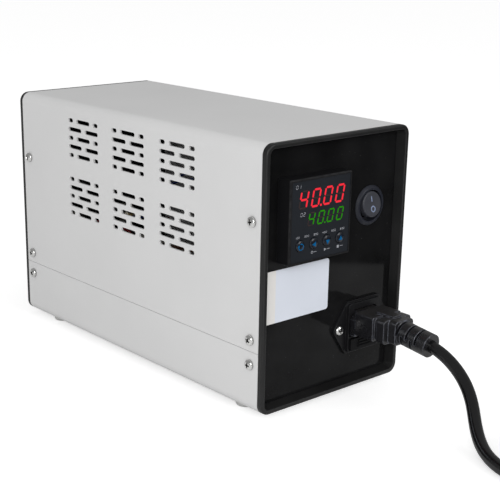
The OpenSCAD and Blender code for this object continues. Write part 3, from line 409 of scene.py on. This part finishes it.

# %% [markdown]
# The rims are black moulded plastic with a satin surface. The two panels are smoother, mirror what stands
# in front of them a little, and show smudges and dust.
# %% Black rims and panels
# The rims' paler edges are partly rubbed wear and partly a painted highlight.
rim_plastic = finish("black_rim_plastic", (0.0110, 0.0110, 0.0112), 0.4, drift=0.2, grain=0.12, grain_size=0.35,
                     specular=0.38, edge=0.6, wear_and_highlight=0.8, dust=0.4)
panel_plastic = finish("black_panel_plastic", (0.0074, 0.0074, 0.0077), 0.07, drift=0.35, drift_size=25, grain=0.01,
                       grain_size=0.8, specular=0.12, rough_drift=0.03, dust=1.0)
dress(rim_plastic, "front_frame", "rear_frame")
dress(panel_plastic, "front_panel", "rear_panel")

# %% [markdown]
# The label is a pale blue film with a greyer strip at its left end.
# %% Label
strip_end, blur = -0.0427, 0.0001  # metres; where the greyer strip ends, and how softly
label_film = finish("label_film", (0.675, 0.710, 0.785), 0.4, drift=0.02, drift_size=30, grain=0.05, grain_size=1)
tree = label_film.node_tree
shader = tree.nodes["Principled BSDF"]
apart = tree.nodes.new("ShaderNodeSeparateXYZ")
tree.links.new(tree.nodes.new("ShaderNodeTexCoord").outputs["Object"], apart.inputs["Vector"])
margin = ranged(tree, apart.outputs["X"], strip_end + blur, strip_end - blur)
film_base = shader.inputs["Base Color"].links[0].from_socket
tree.links.new(mixed(tree, margin, film_base, (0.74, 0.725, 0.705)), shader.inputs["Base Color"])
dress(label_film, "blank_label")

# %% [markdown]
# The small parts follow: plated screws, rubber, the controller, the switch, the inlet and its connector,
# and what is inside the case.
# %% Other finishes
# The screws carry painted shade in their cross recess and round the base of the head.
zinc = finish("bright_zinc", (0.84, 0.84, 0.825), 0.14, drift=0.08, drift_size=2, grain=0.1, grain_size=0.15,
              metallic=1, painted_shade=2.6)
dress(zinc, "foot_screws", "foot_nuts", "inlet_screws", "inlet_nuts", "relay_screws", "heat_sink_screws",
      "earth_stud")
foot_rubber = finish("light_grey_rubber", (0.55, 0.55, 0.54), 0.7, drift=0.05, grain=0.2, grain_size=0.3)
dress(foot_rubber, "foot_front_left", "foot_front_right", "foot_rear_left", "foot_rear_right")
# The controller case's paler edges are partly rubbed wear and partly a painted highlight.
case_black = finish("controller_black", (0.008, 0.008, 0.009), 0.5, drift=0.1, grain=0.25, grain_size=0.3,
                    specular=0.15, edge=0.3, wear_and_highlight=0.35)
dress(case_black, "controller_bezel", "controller_case", "controller_clamp")
window = finish("smoked_window", (0.0160, 0.0180, 0.0220), 0.4, drift=0.08, grain=0.03, grain_size=0.5, specular=0.05)
dress(window, "controller_face", "upper_display", "lower_display")
board = finish("circuit_board", (0.02, 0.14, 0.06), 0.45, drift=0.2, drift_size=6, grain=0.1, grain_size=0.4)
dress(board, "controller_board")
block_black = finish("terminal_black", (0.015, 0.015, 0.015), 0.5)
dress(block_black, "controller_terminals", "terminal_strip")
brass = finish("contact_brass", (0.70, 0.52, 0.25), 0.3, drift=0.1, drift_size=2, metallic=1)
dress(brass, "terminal_screws", "switch_terminals", "inlet_pins", "output_contacts", "sensor_contacts")
key_rubber = finish("key_rubber", (0.0035, 0.0055, 0.0110), 0.27, drift=0.1, grain=0.03, grain_size=0.5,
                    specular=0.55)
dress(key_rubber, "key_cycle", "key_shift", "key_down", "key_up")
switch_gloss = finish("switch_black", (0.0350, 0.0370, 0.0460), 0.33, drift=0.1, grain=0.05, grain_size=0.3,
                      specular=0.4, edge=0.25)
dress(switch_gloss, "switch_rocker")
ring_gloss = finish("switch_ring_black", (0.0165, 0.0182, 0.0260), 0.33, drift=0.1, grain=0.05, grain_size=0.3,
                    specular=0.3, edge=0.25)
dress(ring_gloss, "switch_body")
# The inlet's paler edges are partly rubbed wear and partly a painted highlight.
inlet_black = finish("inlet_black", (0.008, 0.008, 0.009), 0.42, drift=0.1, grain=0.2, grain_size=0.35, specular=0.2,
                     edge=0.3, wear_and_highlight=0.5)
dress(inlet_black, "inlet_body")
drawer_black = finish("drawer_black", (0.006, 0.006, 0.007), 0.5, drift=0.1, grain=0.2, grain_size=0.35,
                      specular=0.12)
dress(drawer_black, "fuse_drawer")
fuse_glass = finish("fuse_glass", (0.7, 0.75, 0.75), 0.1, drift=0.02, grain=0.0)
dress(fuse_glass, "fuse")
nickel = finish("nickel_plate", (0.66, 0.64, 0.58), 0.22, drift=0.06, drift_size=4, metallic=1)
dress(nickel, "output_socket", "output_nut", "sensor_socket", "sensor_nut")
sink = finish("anodised_aluminium", (0.55, 0.56, 0.57), 0.42, drift=0.06, drift_size=10, metallic=1)
dress(sink, "heat_sink")
relay = finish("relay_cream", (0.62, 0.60, 0.52), 0.45, drift=0.03)
dress(relay, "solid_state_relay")
for made, colour in (("mains_wires", (0.20, 0.08, 0.04)), ("relay_wires", (0.20, 0.08, 0.04)),
                     ("earth_wire", (0.3, 0.5, 0.04)), ("output_wires", (0.45, 0.03, 0.03)),
                     ("signal_wires", (0.03, 0.06, 0.28))):
    dress(finish(made + "_jacket", colour, 0.45), made)
# The connector's paler bluish edges are partly rubbed wear and partly a painted highlight.
connector_black = finish("connector_black", (0.0115, 0.0115, 0.0135), 0.28, drift=0.15, grain=0.12,
                         grain_size=0.4, specular=0.7, edge=0.9, wear_and_highlight=0.8, worn_and_highlit=(0.15, 0.16, 0.20), dust=0.5,
                         paler_facing_up=0.15)
# The connector is paler and browner on what faces up.
dress(connector_black, "lead_connector", "coil_tie", "mains_plug")
lead_rubber = finish("lead_rubber", (0.004, 0.004, 0.0045), 0.2, drift=0.12, grain=0.06, grain_size=0.5, specular=0.6)
dress(lead_rubber, lead)

# %% [markdown]
# A numeral on a display is up to seven bars with pointed ends, and a printed mark is a few short strokes.
# All of them are drawn as lines first. One geometry tree then gives a line its width and thickness, so that
# the big red numerals and the smallest mark are made the same way.
# %% Numerals as lines
BARS = {"a": ((0, 1), (1, 1)), "b": ((1, 1), (1, 0.5)), "c": ((1, 0.5), (1, 0)), "d": ((0, 0), (1, 0)),
        "e": ((0, 0.5), (0, 0)), "f": ((0, 1), (0, 0.5)), "g": ((0, 0.5), (1, 0.5))}
NUMERALS = {"0": "abcdef", "1": "bc", "2": "abged", "3": "abgcd", "4": "fgbc", "5": "afgcd", "6": "afgedc"}


def bars_of(text, x, z, wide, tall, pitch, lean, stroke, lit=True):
    """Centre lines of the bars that are lit, or of those that aren't, with their ends drawn to a point."""
    lines = []
    for place, sign in enumerate(text):
        for bar, (low, high) in BARS.items():
            if (bar in NUMERALS[sign]) != lit:
                continue
            a, b = (Vector((x + place * pitch + u * wide + v * tall * lean, 0, z + v * tall)) for u, v in (low, high))
            way = (b - a).normalized()
            a, b = a + way * stroke * 0.3, b - way * stroke * 0.3
            lines.append([(a, 0.25), (a + way * stroke * 0.4, 1), (b - way * stroke * 0.4, 1), (b, 0.25)])
    return lines


def arc_line(x, z, radius, start, end, count=20):
    angles = [math.radians(start + (end - start) * k / count) for k in range(count + 1)]
    return [(Vector((x + radius * math.cos(a), 0, z + radius * math.sin(a))), 1) for a in angles]


def straight(x, z, length, along=(1, 0)):
    """A short stroke centred on a point."""
    half = Vector((along[0], 0, along[1])) * length / 2
    return [(Vector((x, 0, z)) - half, 1), (Vector((x, 0, z)) + half, 1)]


# %% [markdown]
# The tree turns the lines into curves, sets their normals square to the face, and sweeps a rectangle along
# them. The rectangle shrinks where a line carries a small width of its own, which points the bars' ends.
# %% Geometry tree for strokes
def added(tree, kind, settings=(), **sockets):
    """Add a node, set its properties, and link or set the inputs named."""
    made = tree.nodes.new(kind)
    for key, value in settings:
        setattr(made, key, value)
    for key, value in sockets.items():
        socket = made.inputs[key.replace("_", " ")]
        if isinstance(value, bpy.types.NodeSocket):
            tree.links.new(value, socket)
        else:
            socket.default_value = value
    return made.outputs


def new_tree(name, inputs):
    tree = bpy.data.node_groups.new(name, "GeometryNodeTree")
    tree.interface.new_socket("Geometry", in_out="OUTPUT", socket_type="NodeSocketGeometry")
    for title, kind in [("Geometry", "NodeSocketGeometry")] + inputs:
        tree.interface.new_socket(title, in_out="INPUT", socket_type=kind)
    return tree, tree.nodes.new("NodeGroupInput").outputs


def close_tree(tree, shape, material):
    """Realize what the tree made, give it its finish and send it out."""
    whole = added(tree, "GeometryNodeRealizeInstances", Geometry=shape)[0]
    coated = added(tree, "GeometryNodeSetMaterial", Geometry=whole, Material=material)[0]
    tree.links.new(coated, tree.nodes.new("NodeGroupOutput").inputs[0])


stroke_tree, given = new_tree("strokes", [("Width", "NodeSocketFloat"), ("Depth", "NodeSocketFloat"),
                                          ("Finish", "NodeSocketMaterial")])
line_of = added(stroke_tree, "GeometryNodeMeshToCurve", Mesh=given["Geometry"])[0]
squared = added(stroke_tree, "GeometryNodeSetCurveNormal", [("mode", "FREE")], Curve=line_of, Normal=(0, 1, 0))[0]
taper = added(stroke_tree, "GeometryNodeInputNamedAttribute", [("data_type", "FLOAT")], Name="taper")[0]
section = added(stroke_tree, "GeometryNodeCurvePrimitiveQuadrilateral", Width=given["Depth"],
                Height=given["Width"])[0]
swept = added(stroke_tree, "GeometryNodeCurveToMesh", Curve=squared, Profile_Curve=section, Scale=taper,
              Fill_Caps=True)[0]
close_tree(stroke_tree, swept, given["Finish"])


def through_tree(made, tree, values):
    """Run a tree on an object with its inputs set, and keep the result as a plain mesh."""
    run = made.modifiers.new(tree.name, "NODES")
    run.node_group = tree
    for item in tree.interface.items_tree:
        if item.item_type == "SOCKET" and item.in_out == "INPUT" and item.name in values:
            run[item.identifier] = values[item.name]
    graph = bpy.context.evaluated_depsgraph_get()
    mesh = bpy.data.meshes.new_from_object(made.evaluated_get(graph))
    made.modifiers.clear()
    made.data = mesh
    return made


def strokes(name, lines, width, depth, material):
    """Lines with a width, in millimetres, drawn on the plane y = 0."""
    spots, edges, tapers = [], [], []
    for line_points in lines:
        first = len(spots)
        spots += [p * MM for p, _ in line_points]
        tapers += [t for _, t in line_points]
        edges += [(k, k + 1) for k in range(first, len(spots) - 1)]
    mesh = bpy.data.meshes.new(name)
    mesh.from_pydata(spots, edges, [])
    mesh.attributes.new("taper", "FLOAT", "POINT").data.foreach_set("value", tapers)
    values = {"Width": width * MM, "Depth": depth * MM, "Finish": material}
    return through_tree(shown(name, mesh), stroke_tree, values)


def laid_on(made, node, proud=0.02):
    """Move every point of a flat piece back onto the front of a node, a little proud of it."""
    solid = nodes[node].data
    surface = BVHTree.FromPolygons([v.co for v in solid.vertices], [p.vertices for p in solid.polygons])
    for v in made.data.vertices:
        hit = surface.ray_cast(Vector((v.co.x, -1, v.co.z)), Vector((0, 1, 0)))[0]
        v.co.y += hit.y - proud * MM
    return made


# %% [markdown]
# Lit numerals glow in one colour that varies a little in brightness. The bars that are off are faint brown shapes in
# the smoked window. Printing is a thin satin ink.
# %% Glowing bars and ink
def glowing(name, colour, strength):
    material, tree, shader, coords = tree_of(name)
    shader.inputs["Base Color"].default_value = (*[c * 0.05 for c in colour], 1)
    shader.inputs["Roughness"].default_value = 0.5
    shader.inputs["Specular IOR Level"].default_value = 0.02
    shades = tree.nodes.new("ShaderNodeValToRGB")
    for spot, factor in zip(shades.color_ramp.elements, (0.86, 1.0)):
        spot.color = (*[c * factor for c in colour], 1)
    tree.links.new(noise(tree, coords, 1.5), shades.inputs["Fac"])
    tree.links.new(shades.outputs["Color"], shader.inputs["Emission Color"])
    shader.inputs["Emission Strength"].default_value = strength
    return material


red_glow = glowing("lit_red", (1.0, 0.030, 0.052), 1.0)
green_glow = glowing("lit_green", (0.022, 0.255, 0.0), 1.0)
unlit = finish("unlit_bars", (0.034, 0.022, 0.021), 0.5, drift=0.1, drift_size=2, grain=0.02, specular=0.1)
pale_ink = finish("pale_ink", (0.31, 0.32, 0.35), 0.5, drift=0.15, drift_size=0.6, grain=0.1, grain_size=0.2,
                  specular=0.2)
blue_ink = finish("blue_ink", (0.0, 0.095, 0.255), 0.5, drift=0.1, drift_size=0.8, grain=0.1, grain_size=0.2,
                  specular=0.06)
switch_ink = finish("switch_ink", (0.22, 0.27, 0.40), 0.5, drift=0.1, drift_size=0.8, grain=0.1, grain_size=0.2,
                    specular=0.2)

# %% [markdown]
# The display shows 40.00 twice, as a set value and a measured value do. Each numeral's left bar starts from
# the window's left edge, and the point after the second numeral is a short stroke.
# %% The two displays
for title, x, z, wide, tall, pitch, lean, stroke, glow_finish, slot in (
        ("upper", -35.75, 122.45, 5.33, 9.35, 9.37, 0.20, 1.15, red_glow, "digits_red"),
        ("lower", -28.75, 112.00, 4.05, 6.90, 7.46, 0.25, 0.82, green_glow, "digits_green")):
    sizes = (x, z, wide, tall, pitch, lean, stroke)
    point = [straight(x + 1.78 * pitch + 0.1, z + 0.05, stroke * 1.15)]
    lit = strokes(title + "_numerals", bars_of("4000", *sizes) + point, stroke, 0.06, glow_finish)
    dim = strokes(title + "_numerals_off", bars_of("4000", *sizes, lit=False), stroke, 0.04, unlit)
    for made, proud in ((lit, 0.03), (dim, 0.02)):
        laid_on(made, "controller_face", proud)
        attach(made, "unit")
    print(title, "numerals", len(lit.data.polygons), "faces")

# %% [markdown]
# Plain numbers stand in for the captions: 01 and 02 beside the displays, and 100 to 600 over the keys. Under
# the keys stand a ring, a run arrow and a stop square, each with a bar.
# %% Marks on the controller's face
marks = bars_of("01", -38.4, 133.7, 1.4, 1.9, 2.1, 0.15, 0.4)
marks += bars_of("02", -34.4, 117.9, 1.4, 1.9, 2.1, 0.15, 0.4)
for number, x in enumerate((-38.1, -30.9, -23.8, -16.9, -9.8, -2.7)):
    marks += bars_of(str(number + 1) + "00", x, 105.75, 0.8, 0.9, 1.25, 0.1, 0.25)
marks += [straight(x, 96.2, 2.4) for x in (-22.3, -11.9, -1.3)]
fine_marks = strokes("face_marks", marks, 0.32, 0.04, pale_ink)
laid_on(fine_marks, "controller_face")
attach(fine_marks, "unit")
print("face marks", len(marks), "strokes")


# %% [markdown]
# A filled arrow or square is a flat plate. It is divided finely, so that it can follow the domed key under
# it, and its edge is closed.
# %% Filled marks
def from_bmesh(name, shape):
    """An object with the shape as its mesh. The shape is used up."""
    mesh = bpy.data.meshes.new(name)
    shape.to_mesh(mesh)
    shape.free()
    return shown(name, mesh)


def plate_mark(name, corners, material, cuts=5, thin=0.05):
    """A closed flat plate with the given corners, in millimetres."""
    shape = bmesh.new()
    shape.faces.new([shape.verts.new(Vector((x, 0, z)) * MM) for x, z in corners])
    bmesh.ops.subdivide_edges(shape, edges=shape.edges[:], cuts=cuts, use_grid_fill=True)
    bmesh.ops.triangulate(shape, faces=shape.faces[:])
    raised = bmesh.ops.extrude_face_region(shape, geom=shape.faces[:])["geom"]
    for part in raised:
        if isinstance(part, bmesh.types.BMVert):
            part.co.y -= thin * MM
    bmesh.ops.recalc_face_normals(shape, faces=shape.faces[:])
    made = from_bmesh(name, shape)
    made.data.materials.append(material)
    return made


def one_piece(name, *pieces):
    """Join meshes that share a finish into one piece."""
    shape = bmesh.new()
    for piece in pieces:
        shape.from_mesh(piece.data)
    made = from_bmesh(name, shape)
    made.data.materials.append(pieces[0].data.materials[0])
    for piece in pieces:
        bpy.data.objects.remove(piece)
    return made


def pointer(x, z, turn, size=1.75):
    """Corners of a triangle that points at a turn in degrees, where 0 is right."""
    angles = [math.radians(turn + a) for a in (0, 120, 240)]
    return [(x + size * math.cos(a), z + size * math.sin(a)) for a in angles]


run_arrow = plate_mark("run_arrow", pointer(-14.6, 96.2, 0, 1.05), pale_ink, 2)
stop_square = plate_mark("stop_square", [(-4.9, 95.4), (-3.3, 95.4), (-3.3, 97.0), (-4.9, 97.0)], pale_ink, 2)
dot_ring = strokes("dot_ring", [arc_line(-24.6, 96.2, 0.65, 0, 360)], 0.36, 0.04, pale_ink)
pictograms = laid_on(one_piece("face_pictograms", run_arrow, stop_square, dot_ring), "controller_face")
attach(pictograms, "unit")

# %% [markdown]
# The symbols on the keys move with them, so each is its own piece and rides on its key.
# %% Key symbols
for key, turn in (("key_cycle", None), ("key_shift", 180), ("key_down", 270), ("key_up", 90)):
    low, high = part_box(key)
    x, z = (low[0] + high[0]) / 2 / MM, (low[2] + high[2]) / 2 / MM - 0.5
    if turn is None:
        ring = strokes("ring", [arc_line(x, z, 1.75, 110, -190)], 0.62, 0.06, blue_ink)
        tip = plate_mark("tip", pointer(x - 1.75, z + 0.6, 80, 0.8), blue_ink, 3)
        made = one_piece("cycle_symbol", ring, tip)
    else:
        made = plate_mark(key[4:] + "_symbol", pointer(x, z, turn), blue_ink)
    laid_on(made, key)
    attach(made, key)
    print(made.name, "rides on", key)

# %% [markdown]
# The power switch is marked I above and O below, for on and off. The marks are printed on the rocker and
# tip with it.
# %% Marks on the rocker
on_and_off = [straight(31.5, 117.1, 3.2, (0.06, -1)), arc_line(32.0, 111.2, 1.55, 0, 360, 28)]
rocker_marks = strokes("rocker_marks", on_and_off, 0.7, 0.05, switch_ink)
laid_on(rocker_marks, "switch_rocker")
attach(rocker_marks, "rocker")


# %% [markdown]
# The case is closed by twelve pan-head screws with a cross recess. One head is turned from a profile, its
# recess is cut with two tapered wedges, and a geometry tree puts a copy at each screw hole and turns each
# one by its own angle, as a fitter leaves them.
# %% One screw
def turned_shape(name, profile, count=40):
    """A closed solid of revolution about Z from (radius, height) pairs that start and end on the axis."""
    shape = bmesh.new()
    rings = []
    for radius, z in profile:
        if radius == 0:
            rings.append([shape.verts.new((0, 0, z * MM))])
        else:
            angles = [2 * math.pi * k / count for k in range(count)]
            rings.append([shape.verts.new((radius * MM * math.cos(a), radius * MM * math.sin(a), z * MM))
                          for a in angles])
    for below, above in zip(rings, rings[1:]):
        for k in range(count):
            a, b = below[k % len(below)], below[(k + 1) % len(below)]
            c, d = above[(k + 1) % len(above)], above[k % len(above)]
            shape.faces.new(list(dict.fromkeys((a, b, c, d))))
    bmesh.ops.recalc_face_normals(shape, faces=shape.faces[:])
    return from_bmesh(name, shape)


head_r, head_h, shaft_r = 3.2, 2.2, 1.5  # radius and height of the head, radius of the shaft
dome = [(head_r * math.sin(math.radians(a)) ** 0.8, head_h * (0.25 + 0.75 * math.cos(math.radians(a)) ** 0.9))
        for a in range(0, 91, 9)]
shaft = [(0, -6.5), (shaft_r - 0.4, -6.5), (shaft_r, -6), (shaft_r, 0), (head_r - 0.15, 0), (head_r, 0.15)]
screw = turned_shape("screw", shaft + dome[::-1])
wedges = []
for turn in (0, 90):
    half, wide, deep = 2.0, 0.5, 1.7  # the recess: half its span and half its width at the top, and its depth
    spots = [(sx * x, sy * y, z) for z, x, y in ((head_h + 0.3, half, wide), (head_h - deep, 0.6, wide * 0.7))
             for sx, sy in ((-1, -1), (1, -1), (1, 1), (-1, 1))]
    wedge = plain_mesh("wedge", [Matrix.Rotation(math.radians(turn), 3, "Z") @ Vector(p) * MM for p in spots],
                       [(0, 1, 2, 3), (7, 6, 5, 4), (0, 4, 5, 1), (1, 5, 6, 2), (2, 6, 7, 3), (3, 7, 4, 0)])
    cut = screw.modifiers.new("recess", "BOOLEAN")
    cut.operation, cut.solver, cut.object = "DIFFERENCE", "EXACT", wedge
    wedges.append(wedge)
graph = bpy.context.evaluated_depsgraph_get()
screw_mesh = bpy.data.meshes.new_from_object(screw.evaluated_get(graph))
screw.modifiers.clear()
screw.data = screw_mesh
for wedge in wedges:
    bpy.data.objects.remove(wedge)
print("one screw", len(screw_mesh.polygons), "faces")

# %% Geometry tree that places the screws
screw_tree, given = new_tree("screws", [("Screw", "NodeSocketObject"), ("Seed", "NodeSocketInt"),
                                        ("Finish", "NodeSocketMaterial")])
source = added(screw_tree, "GeometryNodeObjectInfo", Object=given["Screw"])["Geometry"]
outward = added(screw_tree, "GeometryNodeInputNamedAttribute", [("data_type", "FLOAT_VECTOR")], Name="outward")[0]
aimed = added(screw_tree, "FunctionNodeAlignRotationToVector", [("axis", "Z")], Vector=outward)[0]
chance = added(screw_tree, "FunctionNodeRandomValue", [("data_type", "FLOAT")], Seed=given["Seed"])[1]
angle = maths(screw_tree, "MULTIPLY", chance, math.pi / 2)
spin = added(screw_tree, "FunctionNodeAxisAngleToRotation", Axis=(0, 0, 1), Angle=angle)[0]
turned = added(screw_tree, "FunctionNodeRotateRotation", [("rotation_space", "LOCAL")], Rotation=aimed,
               Rotate_By=spin)[0]
placed = added(screw_tree, "GeometryNodeInstanceOnPoints", Points=given["Geometry"], Instance=source,
               Rotation=turned)[0]
close_tree(screw_tree, placed, given["Finish"])

# %% The case's screws
spots, directions = [], []
for node, count in (("cover_screws", 2), ("tray_screws", 1)):
    low, high = (Vector(c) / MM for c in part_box(node))
    for side in (-1, 1):
        for y in (low.y + head_r, high.y - head_r):
            for z in sorted({low.z + head_r, high.z - head_r})[:count]:
                spots.append(Vector((side * (high.x - head_h), y, z)) * MM)
                directions.append((side, 0, 0))
screw_places = bpy.data.meshes.new("screw_places")
screw_places.from_pydata(spots, [], [])
outwards = screw_places.attributes.new("outward", "FLOAT_VECTOR", "POINT")
outwards.data.foreach_set("vector", [c for d in directions for c in d])
case_screws = shown("case_screws", screw_places)
through_tree(case_screws, screw_tree, {"Screw": screw, "Seed": 4, "Finish": zinc})
bpy.data.objects.remove(screw)
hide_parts("cover_screws", "tray_screws")
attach(case_screws, "unit")
print("case screws", len(spots), "of", len(case_screws.data.polygons), "faces")

# %% Update the scene
bpy.context.view_layer.update()
